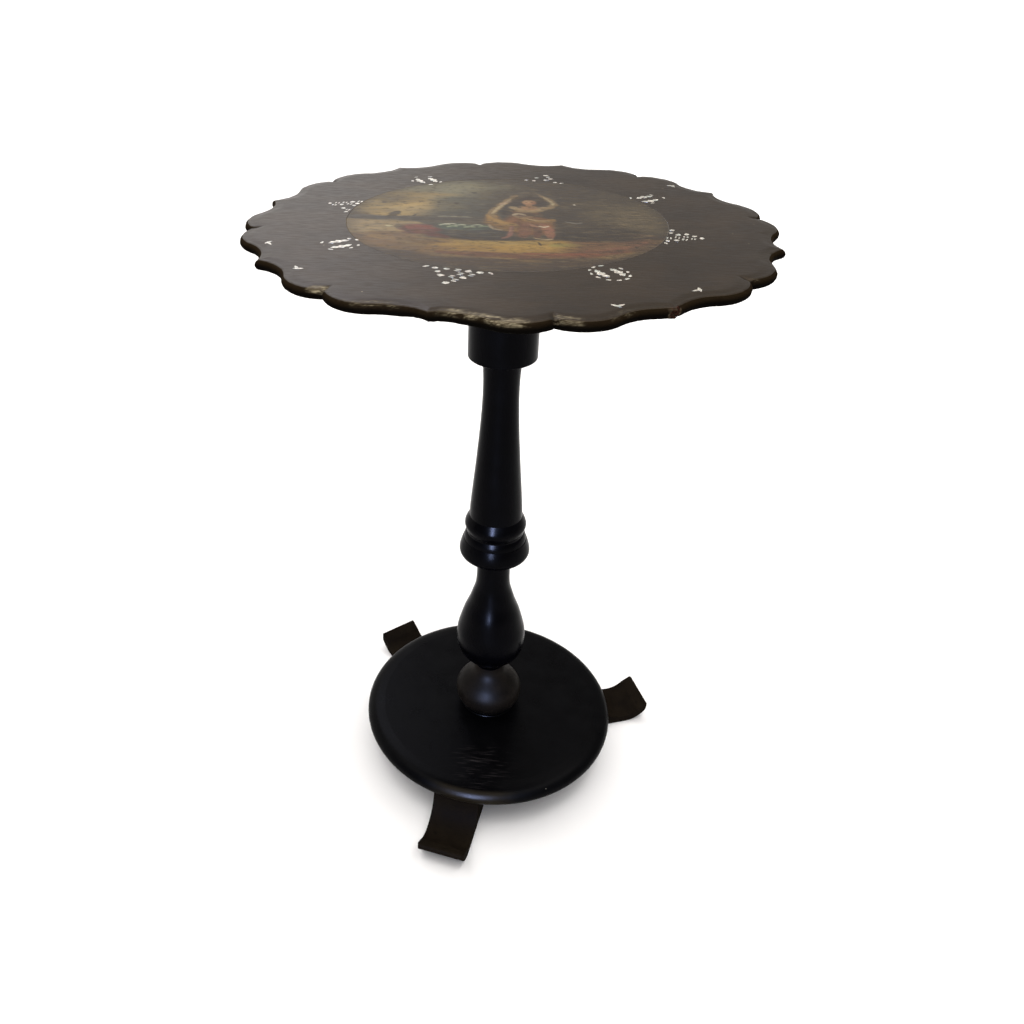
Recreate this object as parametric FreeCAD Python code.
"""Tilt top table: a scalloped, inlaid round top that hinges upright on a turned column.

The column stands on a round base with three toed feet.  Millimetres, +Z up, origin on
the floor under the column's axis.  The top lifts at its back (+Y) edge and turns about a
pair of pivot pins along X.  Each piece is written to parts/NODE.step.
"""
import FreeCAD, Part
import math
import random
import os

V = FreeCAD.Vector
UP = V(0, 0, 1)

# ---- feet and base ----
FOOT_HEIGHT = 37.0          # floor to the underside of the base disc
FOOT_WIDTH = 55.0
FOOT_INNER = 84.0           # radius of the hidden inner end
FOOT_FLAT = 190.0           # radius where the sole leaves the floor
TOE_REACH = 219.0           # radius of the toe's tip
TOE_LIFT = 24.6             # height of the toe's lip
TOE_FACE = 14.5             # length of the lip's face, from the crease to the tip
TOE_CORNER = 4.0            # rounding of the toe's two corners, seen from above
SCOOP_RADIUS = 30.0         # hollow in the foot's top, a round cut
SCOOP_BOTTOM = 8.0          # wood left under the deepest point of the hollow
FOOT_AZIMUTHS = {"foot_front": 257.5, "foot_right": 18.0, "foot_left": 130.0}
DISC_RADIUS = 158.3
DISC_THICK = 18.0
DISC_SHOULDER = 22.0         # how far in the rounding of the disc's top edge runs
COLLAR_RADIUS = 33.5
COLLAR_THICK = 2.5

# ---- column, from the base up ----
KNOP_HEIGHT = 65.0
KNOP_RADIUS = 41.7
WAIST_RADIUS = 17.3         # where the knop meets the vase
VASE_HEIGHT = 150.0
VASE_RADIUS = 42.6
NECK_RADIUS = 20.0          # where the vase meets the shaft
SHAFT_HEIGHT = 283.0
LOWER_BEAD = 41.9           # radii of the two beads low on the shaft
UPPER_BEAD = 36.3
SHAFT_TOP_RADIUS = 22.6
DRUM_HEIGHT = 99.6
DRUM_RADIUS = 38.0
DRUM_EDGE = 1.0

# ---- tenons and wedges ----
BASE_TENON = 14.0           # radii
KNOP_TENON = 11.0
NECK_TENON = 12.0
DRUM_TENON = 13.0
BLOCK_TENON = 16.0
TENON_LENGTH = 30.0
GLUE_GAP = 0.1              # radial room for glue round a tenon
SOCKET_END = 1.0            # room past a tenon's end
WEDGE_THICK = 2.4
WEDGE_DEPTH = 20.0

# ---- pivot block, bearers and pins ----
BLOCK_THICK = 36.0
BLOCK_WIDTH = 110.0
BLOCK_REAR = 60.0           # rear face, from the column's axis
PIVOT_FORWARD = 45.0        # pivot axis in front of the column's axis
SIDE_GAP = 0.3              # between block and bearer
TOP_GAP = 0.4               # between block and top
BEARER_THICK = 22.0
BEARER_DEPTH = 30.0
BEARER_LENGTH = 350.0
BEARER_NIP = 18.0           # sloped cut at each lower end
PIN_RADIUS = 4.0
PIN_CLEARANCE = 0.05
PIN_IN_BLOCK = 30.0
PIN_HEAD = 7.0
PIN_HEAD_THICK = 1.6

# ---- top ----
TOP_THICK = 11.0
TOP_EDGE = 5.0              # how far the rolled edge runs in, top and bottom
EDGE_STEPS = 6              # bands that make up the rolled edge
TOP_RADIUS = 261.5          # to the joins of the outline's arcs; the rest is from there
NOTCH_IN = 4.5
LOBE_OUT = 5.5
HOLLOW_IN = 6.7
TIP_OUT = 3.0
REPEATS = 8
LOBE_AT = 6.3               # degrees from a notch
JOIN_AT = 11.3
HOLLOW_AT = 15.8
FIRST_NOTCH = 8.8           # azimuth of a notch

# ---- shell inlay ----
INLAY_CENTRE = (-4.0, 6.0)  # the ring of motifs is not quite central
INLAY_RING = 178.5
CHIP_THICK = 0.8
CHIP_PROUD = 0.1
KITE_ROWS = 5
KITE_PITCH = 7.8            # from row to row
KITE_CELL = 9.4             # from slip to slip along a row
KITES = {1: (0.9, (1, 2, 5, 7, 8, 10, 13, 16)), 2: (0.9, (3, 7, 11, 15)), 3: (1.08, (6, 12)),
         4: (0.95, (2, 8, 16))}   # size, and the slips that are lost
SLIP_ALONG = 3.7            # half lengths of a kite's largest slips
SLIP_ACROSS = 4.5
SLIVER_CHANCE = 0.4         # share of a kite's slips that are sawn into two slivers
SLIVER_GAP = 0.5
OVAL_RADIAL = 19.5
OVAL_ACROSS = 16.0
OVAL_DOTS = 12
OVALS_LOST = {1: (0, 2, 3, 5, 6, 7, 9, 10), 2: (1, 3, 4, 6, 8, 9, 11), 3: (0, 2, 5, 8, 9, 11),
              4: (4,)}            # dots
LEAF_LENGTH = 21.0
LEAF_WIDTH = 8.6
LEAF_SPACING = 13.5
RIM_INSET = 20.5            # from the joins of the outline
RIM_SPREAD = 9.6            # degrees either side of a tip
RIM_CHIP = 10.0
RIM_LEFT = ((4, -1), (4, 1), (6, -1), (6, 1), (0, 1))   # the chips that are not lost

# ---- screws ----
WOOD_SCREW = 2.2            # shank radii
WOOD_HEAD = 4.4
BRASS_SCREW = 1.4
BRASS_HEAD = 2.8
SLOT_WIDTH = 0.8
SCREW_BITE = 7.0            # into the underside of the top
BEARER_SCREWS = (-140.0, 0.0, 75.0, 150.0)
FOOT_SCREWS = (100.0, 134.0)
FOOT_SCREW_RECESS = 9.0
FOOT_SCREW_BITE = 12.0

# ---- catch ----
CATCH_WIDTH = 36.0
CATCH_THICK = 2.0
CATCH_GAP = 0.8             # left to the block's rear edge as the top swings up
GUIDE_LENGTH = 10.0
GUIDE_SPACING = 44.0        # clear, between the two guides
GUIDE_WIDTH = 18.0
GUIDE_WALL = 3.5            # brass left round the bolt, at the guide's bottom
BOLT_RADIUS = 4.0
BOLT_DROP = 11.0            # bolt's axis below the underside of the top
BOLT_CLEARANCE = 0.05
BOLT_TRAVEL = 16.0
BOLT_TAIL = 7.0             # past the rear guide, when shot
BOLT_RELIEF = 0.6           # round the bolt, in the keeper and the block
BOLT_END_ROOM = 4.0         # past the shot bolt's nose, in the block
KNOB_RADIUS = 7.0
KNOB_STEM = 2.5
KNOB_REACH = 18.0           # from the bolt's axis to the knob's centre
KEEPER_WIDTH = 34.0
KEEPER_HEIGHT = 18.0
KEEPER_THICK = 1.6
KEEPER_SCREWS = 12.0        # either side of the bolt
KEEPER_SCREW_BITE = 12.0

# ---- heights that follow ----
DISC_TOP = FOOT_HEIGHT + DISC_THICK
KNOP_TOP = DISC_TOP + KNOP_HEIGHT
VASE_TOP = KNOP_TOP + VASE_HEIGHT
SHAFT_TOP = VASE_TOP + SHAFT_HEIGHT
DRUM_TOP = SHAFT_TOP + DRUM_HEIGHT
BLOCK_TOP = DRUM_TOP + BLOCK_THICK
UNDERSIDE = BLOCK_TOP + TOP_GAP
SURFACE = UNDERSIDE + TOP_THICK
PIVOT_Z = DRUM_TOP + BLOCK_THICK / 2
BOLT_Z = UNDERSIDE - BOLT_DROP
BEARER_INNER = BLOCK_WIDTH / 2 + SIDE_GAP
BEARER_OUTER = BEARER_INNER + BEARER_THICK


# ------------------------------------------------------------------ helpers

def arc(a, b, c):
    """Circular edge from a through b to c."""
    return Part.Arc(a, b, c).toShape()


def line(a, b):
    return Part.LineSegment(a, b).toShape()


def smooth(points):
    """One smooth curve through the points."""
    curve = Part.BSplineCurve()
    curve.interpolate(points)
    return curve.toShape()


def outline_path(start, steps):
    """Edges in the XZ plane from (radius, height) steps.

    A step of one point is a straight line, of two an arc, of more a smooth curve.
    """
    here = V(start[0], 0, start[1])
    edges = []
    for step in steps:
        points = [V(r, 0, z) for r, z in step]
        if len(points) == 1:
            edges.append(line(here, points[0]))
        elif len(points) == 2:
            edges.append(arc(here, points[0], points[1]))
        else:
            edges.append(smooth([here] + points))
        here = points[-1]
    return edges


def turned(base, start, steps):
    """Solid of revolution about the column's axis, its profile measured up from base."""
    edges = outline_path(start, steps)
    face = Part.Face(Part.Wire(edges))
    solid = face.revolve(V(0, 0, 0), UP, 360)
    solid.translate(V(0, 0, base))
    return solid


def rod(radius, start, end):
    """Cylinder between two points."""
    return Part.makeCylinder(radius, (end - start).Length, start, end - start)


def box(low, high):
    return Part.makeBox(high.x - low.x, high.y - low.y, high.z - low.z, low)


def screw(head_at, tip_at, shank, head):
    """Countersunk, slotted wood screw with its head's face at head_at."""
    along = (tip_at - head_at).normalize()
    sink = head - shank
    cone = Part.makeCone(head, shank, sink, head_at, along)
    side = V(1, 0, 0) if abs(along.x) < 0.5 else V(0, 1, 0)
    slot = Part.makeBox(2.4 * head, SLOT_WIDTH, sink, V(-1.2 * head, -SLOT_WIDTH / 2, -sink / 2))
    turn = FreeCAD.Rotation(side, side.cross(along), along, "XZY")
    slot.Placement = FreeCAD.Placement(head_at, turn)
    return cone.fuse(rod(shank, head_at, tip_at)).removeSplitter().cut(slot)


def screw_hole(head_at, tip_at, shank, head):
    """The screw's own room in what it holds: its cone, its shank and its slot filled."""
    along = (tip_at - head_at).normalize()
    cone = Part.makeCone(head, shank, head - shank, head_at, along)
    return cone.fuse(rod(shank, head_at, tip_at))


def export(name, solids):
    shape = solids if isinstance(solids, Part.Shape) else Part.makeCompound(solids)
    shape.exportStep("parts/%s.step" % name)
    print("%-20s %3d solid(s) %12.1f mm3" % (name, len(shape.Solids), shape.Volume))


# ------------------------------------------------------------------ base and feet

def foot_screw_ends(radius):
    """Head and tip of a foot screw, in the foot's own frame: +X outwards."""
    return V(radius, 0, FOOT_SCREW_RECESS), V(radius, 0, FOOT_HEIGHT + FOOT_SCREW_BITE)


def at_azimuth(shape, azimuth):
    return shape.rotated(V(0, 0, 0), UP, azimuth)


def foot():
    """One foot: a block with a flat sole, a scooped top and an upturned toe."""
    scoop_z = SCOOP_BOTTOM + SCOOP_RADIUS
    crease_x = TOE_REACH - TOE_FACE
    rise = FOOT_HEIGHT - scoop_z
    scoop_x = crease_x - 0.73 * SCOOP_RADIUS
    crease_z = scoop_z - SCOOP_RADIUS * math.sqrt(1 - 0.73 ** 2)
    start_x = scoop_x - math.sqrt(SCOOP_RADIUS ** 2 - rise ** 2)
    sole_lift = 0.63 * TOE_LIFT
    steps = [
        [(FOOT_INNER, FOOT_HEIGHT)],
        [(start_x, FOOT_HEIGHT)],
        [(scoop_x, SCOOP_BOTTOM), (crease_x, crease_z)],
        [(TOE_REACH - 3.0, TOE_LIFT)],
        [(TOE_REACH, TOE_LIFT - 2.2), (TOE_REACH - 0.7, TOE_LIFT - 5.0)],
        [(TOE_REACH - 2.5, sole_lift)],
        [((FOOT_FLAT + TOE_REACH) / 2, 0.3 * sole_lift), (FOOT_FLAT, 0.0)],
        [(FOOT_INNER, 0.0)],
    ]
    side = Part.Face(Part.Wire(outline_path((FOOT_INNER, 0.0), steps)))
    side.translate(V(0, -FOOT_WIDTH / 2, 0))
    block = side.extrude(V(0, FOOT_WIDTH, 0))
    block = block.common(foot_plan())
    for radius in FOOT_SCREWS:
        head, tip = foot_screw_ends(radius)
        block = block.cut(rod(WOOD_HEAD + 0.6, V(radius, 0, 0), head))
        block = block.cut(screw_hole(head, tip, WOOD_SCREW, WOOD_HEAD))
    return block


def foot_plan():
    """Tall block with the foot's plan: its two toe corners are rounded."""
    block = box(V(FOOT_INNER, -FOOT_WIDTH / 2, 0), V(TOE_REACH, FOOT_WIDTH / 2, FOOT_HEIGHT))
    corners = [e for e in block.Edges
               if len(e.Vertexes) == 2
               and all(abs(v.X - TOE_REACH) < 1e-6 for v in e.Vertexes)
               and abs(e.Vertexes[0].Y - e.Vertexes[1].Y) < 1e-6]
    return block.makeFillet(TOE_CORNER, corners)


def foot_screws():
    one = [screw(*foot_screw_ends(r), WOOD_SCREW, WOOD_HEAD) for r in FOOT_SCREWS]
    return [at_azimuth(s, a) for a in FOOT_AZIMUTHS.values() for s in one]


def base_disc():
    """Round base with a soft shoulder and a rounded edge, bored for the knop's tenon."""
    r, t = DISC_RADIUS, DISC_THICK
    steps = [
        [(r - 6.0, 0)],
        [(r - 1.6, 0.13 * t), (r, 0.42 * t)],
        [(r - 0.07 * DISC_SHOULDER, 0.66 * t), (r - 0.25 * DISC_SHOULDER, 0.85 * t),
         (r - 0.57 * DISC_SHOULDER, 0.965 * t), (r - DISC_SHOULDER, t)],
        [(0, t)],
        [(0, 0)],
    ]
    disc = turned(FOOT_HEIGHT, (0, 0), steps)
    disc = disc.cut(rod(BASE_TENON + GLUE_GAP, V(0, 0, FOOT_HEIGHT), V(0, 0, DISC_TOP)))
    for azimuth in FOOT_AZIMUTHS.values():
        for radius in FOOT_SCREWS:
            hole = screw_hole(*foot_screw_ends(radius), WOOD_SCREW, WOOD_HEAD)
            disc = disc.cut(at_azimuth(hole, azimuth))
    return disc


def base_collar():
    """Thin turned ring between the disc and the knop."""
    t, r, bore = COLLAR_THICK, COLLAR_RADIUS, BASE_TENON + GLUE_GAP
    steps = [[(r, 0)], [(r + 0.3 * t, t / 2), (r, t)], [(bore, t)], [(bore, 0)]]
    return turned(DISC_TOP, (bore, 0), steps)


# ------------------------------------------------------------------ column

def wedge_slot(radius, end_z, way):
    """Saw cut across a tenon's end; way is +1 where the end faces up."""
    half, far = radius + 1.0, end_z - way * WEDGE_DEPTH
    low, high = min(end_z, far), max(end_z, far)
    return box(V(-half, -WEDGE_THICK / 2, low), V(half, WEDGE_THICK / 2, high))


def wedge(radius, end_z, way):
    """Thin wedge that fills the saw cut, its ends flush with the tenon."""
    tenon_end = rod(radius, V(0, 0, end_z), V(0, 0, end_z - way * WEDGE_DEPTH))
    return wedge_slot(radius, end_z, way).common(tenon_end)


def wedged_tenon(radius, shoulder_z, end_z):
    """Through tenon with its saw cut."""
    way = 1 if end_z > shoulder_z else -1
    through = rod(radius, V(0, 0, shoulder_z), V(0, 0, end_z))
    return through.cut(wedge_slot(radius, end_z, way))


def socket(radius, mouth_z, way):
    """Blind round hole for a tenon; way is the direction from the mouth inwards."""
    depth = TENON_LENGTH + SOCKET_END
    return rod(radius + GLUE_GAP, V(0, 0, mouth_z), V(0, 0, mouth_z + way * depth))


def tenon(radius, shoulder_z):
    """Blind tenon that hangs below a shoulder."""
    return rod(radius, V(0, 0, shoulder_z), V(0, 0, shoulder_z - TENON_LENGTH))


def column_knop():
    """Flattened ball at the column's foot, with a long tenon through the base."""
    r, h, seat = KNOP_RADIUS, KNOP_HEIGHT, COLLAR_THICK
    waist = WAIST_RADIUS
    steps = [
        [(COLLAR_RADIUS - 3.0, seat)],
        [(r - 2.6, 0.19 * h), (r, 0.385 * h)],
        [(0.94 * r, 0.53 * h), (0.80 * r, 0.64 * h), (0.62 * r, 0.73 * h),
         (waist + 2.6, 0.82 * h), (waist + 0.4, 0.92 * h), (waist, h)],
        [(0, h)],
        [(0, seat)],
    ]
    knop = turned(DISC_TOP, (0, seat), steps)
    knop = knop.fuse(wedged_tenon(BASE_TENON, DISC_TOP + seat, FOOT_HEIGHT))
    return knop.cut(socket(KNOP_TENON, KNOP_TOP, -1))


def column_vase():
    """Vase-shaped swelling between the knop and the neck."""
    r, h, waist, neck = VASE_RADIUS, VASE_HEIGHT, WAIST_RADIUS, NECK_RADIUS
    steps = [
        [(waist, 0)],
        [(waist + 0.5, 0.022 * h), (waist + 5.2, 0.062 * h), (0.73 * r, 0.115 * h),
         (0.895 * r, 0.175 * h), (0.978 * r, 0.243 * h), (r, 0.32 * h),
         (0.985 * r, 0.39 * h), (0.91 * r, 0.48 * h), (0.80 * r, 0.585 * h),
         (0.67 * r, 0.68 * h), (neck + 4.4, 0.767 * h), (neck + 1.5, 0.835 * h),
         (neck + 0.3, 0.90 * h), (neck, h)],
        [(0, h)],
        [(0, 0)],
    ]
    vase = turned(KNOP_TOP, (0, 0), steps).fuse(tenon(KNOP_TENON, KNOP_TOP))
    return vase.cut(socket(NECK_TENON, VASE_TOP, -1))


def column_shaft():
    """Neck, two beads and a long taper, turned in one length."""
    h, neck, low, high = SHAFT_HEIGHT, NECK_RADIUS, LOWER_BEAD, UPPER_BEAD
    top = SHAFT_TOP_RADIUS
    groove = high - 2.6
    steps = [
        [(neck, 0)],
        [(neck + 0.6, 0.083 * h)],
        [(low - 4.8, 0.085 * h)],
        [(low - 1.6, 0.092 * h), (low, 0.106 * h), (low - 0.4, 0.122 * h),
         (low - 1.7, 0.140 * h), (low - 3.5, 0.158 * h), (low - 4.3, 0.166 * h)],
        [(low - 4.9, 0.168 * h)],
        [(low - 5.6, 0.180 * h), (low - 6.8, 0.191 * h), (groove, 0.199 * h)],
        [(groove, 0.206 * h)],
        [(high - 1.2, 0.219 * h), (high, 0.237 * h), (high - 1.2, 0.255 * h),
         (high - 4.1, 0.275 * h)],
        [(high - 5.1, 0.281 * h)],
        [(high - 5.6, 0.315 * h), (high - 7.5, 0.40 * h), (high - 10.4, 0.516 * h),
         (high - 12.9, 0.625 * h), (high - 14.9, 0.735 * h), (high - 16.0, 0.84 * h),
         (high - 15.6, 0.925 * h), (top, h)],
        [(0, h)],
        [(0, 0)],
    ]
    shaft = turned(VASE_TOP, (0, 0), steps).fuse(tenon(NECK_TENON, VASE_TOP))
    upper = rod(DRUM_TENON, V(0, 0, SHAFT_TOP), V(0, 0, SHAFT_TOP + TENON_LENGTH))
    return shaft.fuse(upper)


def column_drum():
    """Plain drum under the block, with a tenon that goes right through the block."""
    drum = Part.makeCylinder(DRUM_RADIUS, DRUM_HEIGHT, V(0, 0, SHAFT_TOP))
    rims = [e for e in drum.Edges if len(e.Vertexes) == 1]
    drum = drum.makeFillet(DRUM_EDGE, rims)
    drum = drum.fuse(wedged_tenon(BLOCK_TENON, DRUM_TOP, BLOCK_TOP))
    return drum.cut(socket(DRUM_TENON, SHAFT_TOP, 1))


# ------------------------------------------------------------------ pivot block and bearers

def bolt_hole():
    """Room for the shot bolt in the keeper and the block."""
    deep = BOLT_FRONT - BOLT_TRAVEL - BOLT_END_ROOM
    return rod(BOLT_RADIUS + BOLT_RELIEF, V(0, deep, BOLT_Z), V(0, BLOCK_REAR, BOLT_Z))


def keeper_body():
    half = KEEPER_HEIGHT / 2
    return box(V(-KEEPER_WIDTH / 2, BLOCK_REAR - KEEPER_THICK, BOLT_Z - half),
               V(KEEPER_WIDTH / 2, BLOCK_REAR, BOLT_Z + half))


def keeper_screw_ends(side):
    x = side * KEEPER_SCREWS
    return V(x, BLOCK_REAR, BOLT_Z), V(x, BLOCK_REAR - KEEPER_SCREW_BITE, BOLT_Z)


def pivot_block():
    """Block on the column: its upper front edge is round about the pivot axis.

    Its flat front face below that is the stop that the upright top leans on.
    """
    nose = BLOCK_THICK / 2
    centre = V(0, -PIVOT_FORWARD, PIVOT_Z)
    high_front, mid_front = centre + V(0, 0, nose), centre - V(0, nose, 0)
    low_front = mid_front - V(0, 0, nose)
    low_rear, high_rear = V(0, BLOCK_REAR, DRUM_TOP), V(0, BLOCK_REAR, BLOCK_TOP)
    corner = centre + V(0, -nose, nose) * math.sqrt(0.5)
    edges = [line(low_front, low_rear), line(low_rear, high_rear), line(high_rear, high_front),
             arc(high_front, corner, mid_front), line(mid_front, low_front)]
    side = Part.Face(Part.Wire(edges))
    side.translate(V(-BLOCK_WIDTH / 2, 0, 0))
    block = side.extrude(V(BLOCK_WIDTH, 0, 0))
    block = block.cut(rod(BLOCK_TENON + GLUE_GAP, V(0, 0, DRUM_TOP), V(0, 0, BLOCK_TOP)))
    for way in (-1, 1):
        face_x = way * BLOCK_WIDTH / 2
        deep_x = face_x - way * (PIN_IN_BLOCK + SOCKET_END)
        hole = rod(PIN_RADIUS + PIN_CLEARANCE, V(face_x, -PIVOT_FORWARD, PIVOT_Z),
                   V(deep_x, -PIVOT_FORWARD, PIVOT_Z))
        block = block.cut(hole)
        block = block.cut(screw_hole(*keeper_screw_ends(way), BRASS_SCREW, BRASS_HEAD))
    return block.cut(keeper_body()).cut(bolt_hole())


def keeper_plate():
    """Brass plate let into the block's rear face, with the bolt's hole."""
    plate = keeper_body().cut(bolt_hole())
    for way in (-1, 1):
        plate = plate.cut(screw_hole(*keeper_screw_ends(way), BRASS_SCREW, BRASS_HEAD))
    return plate


def bearer(way):
    """Long batten under the top; way is -1 on the left and +1 on the right."""
    half, low = BEARER_LENGTH / 2, UNDERSIDE - BEARER_DEPTH
    corners = [(-half, UNDERSIDE), (half, UNDERSIDE), (half, low + BEARER_NIP),
               (half - BEARER_NIP, low), (BEARER_NIP - half, low), (-half, low + BEARER_NIP)]
    points = [V(0, y, z) for y, z in corners]
    side = Part.Face(Part.makePolygon(points + points[:1]))
    batten = side.extrude(V(BEARER_THICK, 0, 0))
    batten.translate(V(BEARER_INNER if way > 0 else -BEARER_OUTER, 0, 0))
    batten = batten.cut(pivot_pin(way, solid_head=True))
    for y in BEARER_SCREWS:
        batten = batten.cut(screw_hole(*bearer_screw_ends(way, y), WOOD_SCREW, WOOD_HEAD))
    return batten


def bearer_screw_ends(way, y):
    x = way * (BEARER_INNER + BEARER_OUTER) / 2
    return V(x, y, UNDERSIDE - BEARER_DEPTH), V(x, y, UNDERSIDE + SCREW_BITE)


def pivot_pin(way, solid_head=False):
    """Steel pin with a slotted head let into the bearer's outer face."""
    y, z = -PIVOT_FORWARD, PIVOT_Z
    outer = way * BEARER_OUTER
    inner = way * (BLOCK_WIDTH / 2 - PIN_IN_BLOCK)
    under = outer - way * PIN_HEAD_THICK
    pin = rod(PIN_RADIUS, V(inner, y, z), V(outer, y, z))
    pin = pin.fuse(rod(PIN_HEAD, V(under, y, z), V(outer, y, z))).removeSplitter()
    if solid_head:
        return pin
    slot = box(V(outer - 0.8, y - PIN_HEAD, z - 0.7), V(outer + 0.8, y + PIN_HEAD, z + 0.7))
    return pin.cut(slot)


# ------------------------------------------------------------------ top and inlay

def polar(radius, degrees, z=0.0):
    turn = math.radians(degrees)
    return V(radius * math.cos(turn), radius * math.sin(turn), z)


def scallop(start, way, radius, z):
    """Half a repeat of the outline: notch, lobe, hollow and tip; way -1 mirrors it."""
    notch = polar(radius - NOTCH_IN, start, z)
    lobe = polar(radius + LOBE_OUT, start + way * LOBE_AT, z)
    join = polar(radius, start + way * JOIN_AT, z)
    hollow = polar(radius - HOLLOW_IN, start + way * HOLLOW_AT, z)
    tip = polar(radius + TIP_OUT, start + way * 180.0 / REPEATS, z)
    if way > 0:
        return [arc(notch, lobe, join), arc(join, hollow, tip)]
    return [arc(tip, hollow, join), arc(join, lobe, notch)]


def top_outline(inset, z):
    edges = []
    for k in range(REPEATS):
        notch = FIRST_NOTCH + k * 360.0 / REPEATS
        edges += scallop(notch, 1, TOP_RADIUS - inset, z)
        edges += scallop(notch + 360.0 / REPEATS, -1, TOP_RADIUS - inset, z)
    return Part.Wire(edges)


def table_top(chips):
    """Scalloped board with a rolled edge, pocketed for the shell and the screws.

    The edge is half an ellipse in section: the outline is drawn in by its depth there.
    """
    sections = []
    for k in range(EDGE_STEPS + 1):
        turn = math.pi * (k / EDGE_STEPS - 0.5)
        height = UNDERSIDE + TOP_THICK * (1 + math.sin(turn)) / 2
        sections.append(top_outline(TOP_EDGE * (1 - math.cos(turn)), height))
    board = Part.makeLoft(sections, True, True)
    board = board.cut(chips)
    holes = [screw_hole(*bearer_screw_ends(w, y), WOOD_SCREW, WOOD_HEAD)
             for w in (-1, 1) for y in BEARER_SCREWS]
    holes += [screw_hole(*ends, BRASS_SCREW, BRASS_HEAD) for ends in catch_screw_ends()]
    return board.cut(holes)


def chip(points):
    """Slip of shell with a straight-sided outline, let into the surface."""
    base = [V(x, y, SURFACE + CHIP_PROUD - CHIP_THICK) for x, y in points]
    return Part.Face(Part.makePolygon(base + base[:1])).extrude(V(0, 0, CHIP_THICK))


def leaf(length, width, centre, slant):
    """Leaf-shaped slip: two arcs, its length turned by slant degrees from +X."""
    z = SURFACE + CHIP_PROUD - CHIP_THICK
    ends = V(-length / 2, 0, z), V(length / 2, 0, z)
    sides = V(0, width / 2, z), V(0, -width / 2, z)
    wire = Part.Wire([arc(ends[0], sides[0], ends[1]), arc(ends[1], sides[1], ends[0])])
    slip = Part.Face(wire).extrude(V(0, 0, CHIP_THICK))
    slip.rotate(V(0, 0, 0), UP, slant)
    slip.translate(V(centre[0], centre[1], 0))
    return slip


def placed(slips, centre, radius, azimuth):
    """Slips drawn with +X outwards, moved out along an azimuth."""
    out = []
    for slip in slips:
        slip = slip.translated(V(radius, 0, 0)).rotated(V(0, 0, 0), UP, azimuth)
        out.append(slip.translated(V(centre[0], centre[1], 0)))
    return out


def shard(centre, along, across, lean, chance):
    """Slip with six uneven sides, within an oval of those half lengths."""
    points = []
    for k in range(6):
        turn = math.radians(60.0 * k + 15.0 * chance.uniform(-1, 1))
        reach = chance.uniform(0.66, 1.0)
        x, y = along * reach * math.cos(turn), across * reach * math.sin(turn)
        c, s = math.cos(lean), math.sin(lean)
        points.append((centre[0] + x * c - y * s, centre[1] + x * s + y * c))
    return chip(points)


def sawn_leaf(centre, way):
    """Leaf cut with three lobes along each side, lying outwards."""
    steps = 18
    half = []
    for k in range(steps + 1):
        t = k / steps
        wide = math.sin(math.pi * min(max(t, 0.03), 0.97)) ** 0.5
        lobes = 0.74 + 0.26 * math.cos(2 * math.pi * 3 * (t - 0.5))
        half.append(((t - 0.5) * LEAF_LENGTH, 0.5 * LEAF_WIDTH * wide * lobes))
    bow = [way * 1.3 * math.cos(math.pi * x / LEAF_LENGTH) for x, y in half]
    near = [(x + centre[0], centre[1] + b + y) for (x, y), b in zip(half, bow)]
    far = [(x + centre[0], centre[1] + b - y) for (x, y), b in zip(half, bow)]
    return chip(near + far[::-1])


def cell(centre, along, across, chance):
    """One slip of a kite, or two slivers with a saw cut between them."""
    lean = chance.uniform(-0.1, 0.1)
    if chance.random() > SLIVER_CHANCE:
        return [shard(centre, along, across, lean, chance)]
    half = (along - SLIVER_GAP) / 2
    return [shard((centre[0] + way * (half + SLIVER_GAP), centre[1]), half, across, lean, chance)
            for way in (-1, 1)]


def kite(number):
    """Mosaic of uneven slips in rows that narrow outwards, with one at each inner corner."""
    size, lost = KITES[number]
    chance = random.Random(10 + number)
    slips = []
    for row in range(KITE_ROWS):
        x = (row - (KITE_ROWS - 1) / 2) * KITE_PITCH
        count = KITE_ROWS - row
        for k in range(count):
            y = (k - (count - 1) / 2) * KITE_CELL
            along = size * SLIP_ALONG * chance.uniform(0.7, 1.0)
            across = size * SLIP_ACROSS * chance.uniform(0.62, 1.0)
            slips.append(cell((size * x, size * y), along, across, chance))
    corner_x = -size * (KITE_ROWS / 2 - 0.35) * KITE_PITCH
    for way in (-1, 1):
        slips.append([leaf(6.4 * size, 2.8 * size, (corner_x, way * size * 2.9 * KITE_CELL),
                           way * 50.0)])
    return [slip for k, group in enumerate(slips) if k not in lost for slip in group]


def oval(number):
    """Two sawn leaves side by side inside a ring of dots."""
    slips = [sawn_leaf((way * 1.5, way * LEAF_SPACING / 2), way) for way in (-1, 1)]
    chance = random.Random(20 + number)
    for k in range(OVAL_DOTS):
        turn = 2 * math.pi * (k + 0.5) / OVAL_DOTS
        centre = (OVAL_RADIAL * math.cos(turn), OVAL_ACROSS * math.sin(turn))
        dot = shard(centre, 1.8, 3.3, math.atan2(centre[1], centre[0]), chance)
        if k not in OVALS_LOST[number]:
            slips.append(dot)
    return slips


def rim_chips():
    """Pairs of small leaves spread in a V, near the rim either side of a tip."""
    slips = []
    for tip, way in RIM_LEFT:
        azimuth = FIRST_NOTCH + (tip + 0.5) * 360.0 / REPEATS + way * RIM_SPREAD
        pair = [leaf(RIM_CHIP, 3.0, (0, 1.6 * side), 90.0 + 35.0 * side + 20.0 * way)
                for side in (-1, 1)]
        bird = pair[0].fuse(pair[1]).removeSplitter()
        slips += placed([bird], (0, 0), TOP_RADIUS - RIM_INSET, azimuth)
    return slips


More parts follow.
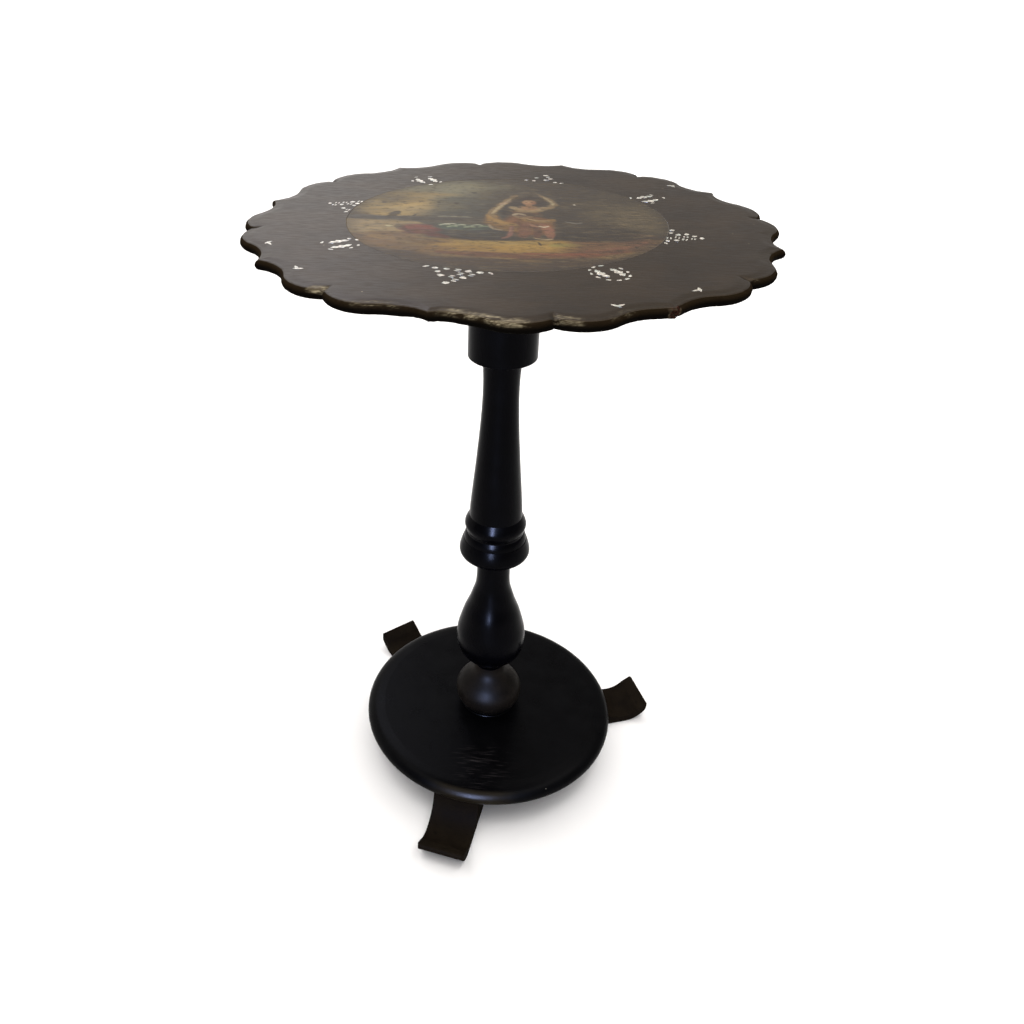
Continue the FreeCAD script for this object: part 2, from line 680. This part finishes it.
def inlays():
    """Every shell node: kites and ovals take turns round the ring, in line with the tips."""
    nodes = {}
    for k in range(REPEATS):
        azimuth = FIRST_NOTCH + (k + 0.5) * 360.0 / REPEATS
        number = k // 2 + 1
        if k % 2 == 0:
            name, motif = "oval_inlay_%d" % number, oval(number)
        else:
            name, motif = "kite_inlay_%d" % number, kite(number)
        nodes[name] = placed(motif, INLAY_CENTRE, INLAY_RING, azimuth)
    nodes["rim_inlay"] = rim_chips()
    return nodes


# ------------------------------------------------------------------ catch

def clear_of_block(low_z):
    """Least y of a piece under the top, so that it swings up past the block's rear edge.

    A point keeps its distance from the pivot; low_z is the piece's lowest point.
    """
    reach = BLOCK_REAR + PIVOT_FORWARD + CATCH_GAP
    rise = max(low_z - PIVOT_Z, 0.0)
    return math.sqrt(reach ** 2 + (BLOCK_THICK / 2) ** 2 - rise ** 2) - PIVOT_FORWARD


GUIDE_BOTTOM = BOLT_Z - BOLT_RADIUS - GUIDE_WALL
BOLT_FRONT = clear_of_block(BOLT_Z - BOLT_RADIUS)
GUIDE_FRONT = clear_of_block(GUIDE_BOTTOM) + 2.0
GUIDE_FRONTS = (GUIDE_FRONT, GUIDE_FRONT + GUIDE_LENGTH + GUIDE_SPACING)
PLATE_FRONT = clear_of_block(UNDERSIDE - CATCH_THICK)
PLATE_REAR = GUIDE_FRONTS[1] + GUIDE_LENGTH + 2.0
BOLT_REAR = GUIDE_FRONTS[1] + GUIDE_LENGTH + BOLT_TRAVEL + BOLT_TAIL
KNOB_Y = (GUIDE_FRONTS[0] + GUIDE_LENGTH + GUIDE_FRONTS[1] + BOLT_TRAVEL) / 2


def catch_screw_ends():
    x = CATCH_WIDTH / 2 - 4.0
    rows = (GUIDE_FRONTS[0] + GUIDE_LENGTH / 2, GUIDE_FRONTS[1] + GUIDE_LENGTH / 2)
    low = UNDERSIDE - CATCH_THICK
    return [(V(way * x, y, low), V(way * x, y, UNDERSIDE + SCREW_BITE))
            for way in (-1, 1) for y in rows]


def catch_plate():
    """Brass plate under the top, with two guides that the bolt slides in."""
    low = UNDERSIDE - CATCH_THICK
    plate = box(V(-CATCH_WIDTH / 2, PLATE_FRONT, low), V(CATCH_WIDTH / 2, PLATE_REAR, UNDERSIDE))
    bottom = GUIDE_BOTTOM
    for front in GUIDE_FRONTS:
        guide = box(V(-GUIDE_WIDTH / 2, front, bottom),
                    V(GUIDE_WIDTH / 2, front + GUIDE_LENGTH, low))
        keels = [e for e in guide.Edges if abs(e.BoundBox.ZMax - bottom) < 1e-6
                 and e.BoundBox.YLength > 1.0]
        plate = plate.fuse(guide.makeFillet(GUIDE_WALL, keels))
    bore = rod(BOLT_RADIUS + BOLT_CLEARANCE, V(0, PLATE_FRONT, BOLT_Z), V(0, PLATE_REAR, BOLT_Z))
    plate = plate.removeSplitter().cut(bore)
    return plate.cut([screw_hole(*e, BRASS_SCREW, BRASS_HEAD) for e in catch_screw_ends()])


def catch_bolt():
    """Round brass bolt with a bevelled nose and a hole for the knob's stem."""
    nose = 1.2
    front = Part.makeCone(BOLT_RADIUS - nose, BOLT_RADIUS, nose, V(0, BOLT_FRONT, BOLT_Z),
                          V(0, 1, 0))
    bolt = rod(BOLT_RADIUS, V(0, BOLT_FRONT + nose, BOLT_Z), V(0, BOLT_REAR, BOLT_Z))
    bolt = bolt.fuse(front).removeSplitter()
    return bolt.cut(rod(KNOB_STEM, V(0, KNOB_Y, BOLT_Z - BOLT_RADIUS), V(0, KNOB_Y, BOLT_Z)))


def catch_knob():
    """Turned knob that hangs from the bolt."""
    centre = V(0, KNOB_Y, BOLT_Z - KNOB_REACH)
    ball = Part.makeSphere(KNOB_RADIUS, centre)
    ring = rod(KNOB_STEM + 1.5, V(0, KNOB_Y, BOLT_Z - BOLT_RADIUS - 3.0),
               V(0, KNOB_Y, BOLT_Z - BOLT_RADIUS - 1.0))
    stem = rod(KNOB_STEM, centre, V(0, KNOB_Y, BOLT_Z))
    return ball.fuse([ring, stem]).removeSplitter()


# ------------------------------------------------------------------ all nodes

def build():
    shell = inlays()
    chips = [slip for slips in shell.values() for slip in slips]
    for name, azimuth in FOOT_AZIMUTHS.items():
        export(name, at_azimuth(foot(), azimuth))
    export("foot_screws", foot_screws())
    export("base_disc", base_disc())
    export("base_wedge", wedge(BASE_TENON, FOOT_HEIGHT, -1))
    export("base_collar", base_collar())
    export("column_knop", column_knop())
    export("column_vase", column_vase())
    export("column_shaft", column_shaft())
    export("column_drum", column_drum())
    export("block_wedge", wedge(BLOCK_TENON, BLOCK_TOP, 1))
    export("pivot_block", pivot_block())
    export("keeper_plate", keeper_plate())
    export("keeper_screws", [screw(*keeper_screw_ends(w), BRASS_SCREW, BRASS_HEAD)
                             for w in (-1, 1)])
    export("bearer_left", bearer(-1))
    export("bearer_right", bearer(1))
    export("bearer_screws", [screw(*bearer_screw_ends(w, y), WOOD_SCREW, WOOD_HEAD)
                             for w in (-1, 1) for y in BEARER_SCREWS])
    export("pivot_pins", [pivot_pin(-1), pivot_pin(1)])
    export("table_top", table_top(chips))
    for name, slips in shell.items():
        export(name, slips)
    export("catch_plate", catch_plate())
    export("catch_screws", [screw(*e, BRASS_SCREW, BRASS_HEAD) for e in catch_screw_ends()])
    export("catch_bolt", catch_bolt())
    export("catch_knob", catch_knob())


os.makedirs("parts", exist_ok=True)
build()
print("height %.1f, pivot y %.1f z %.1f, bolt z %.1f travel %.1f"
      % (SURFACE, -PIVOT_FORWARD, PIVOT_Z, BOLT_Z, BOLT_TRAVEL))
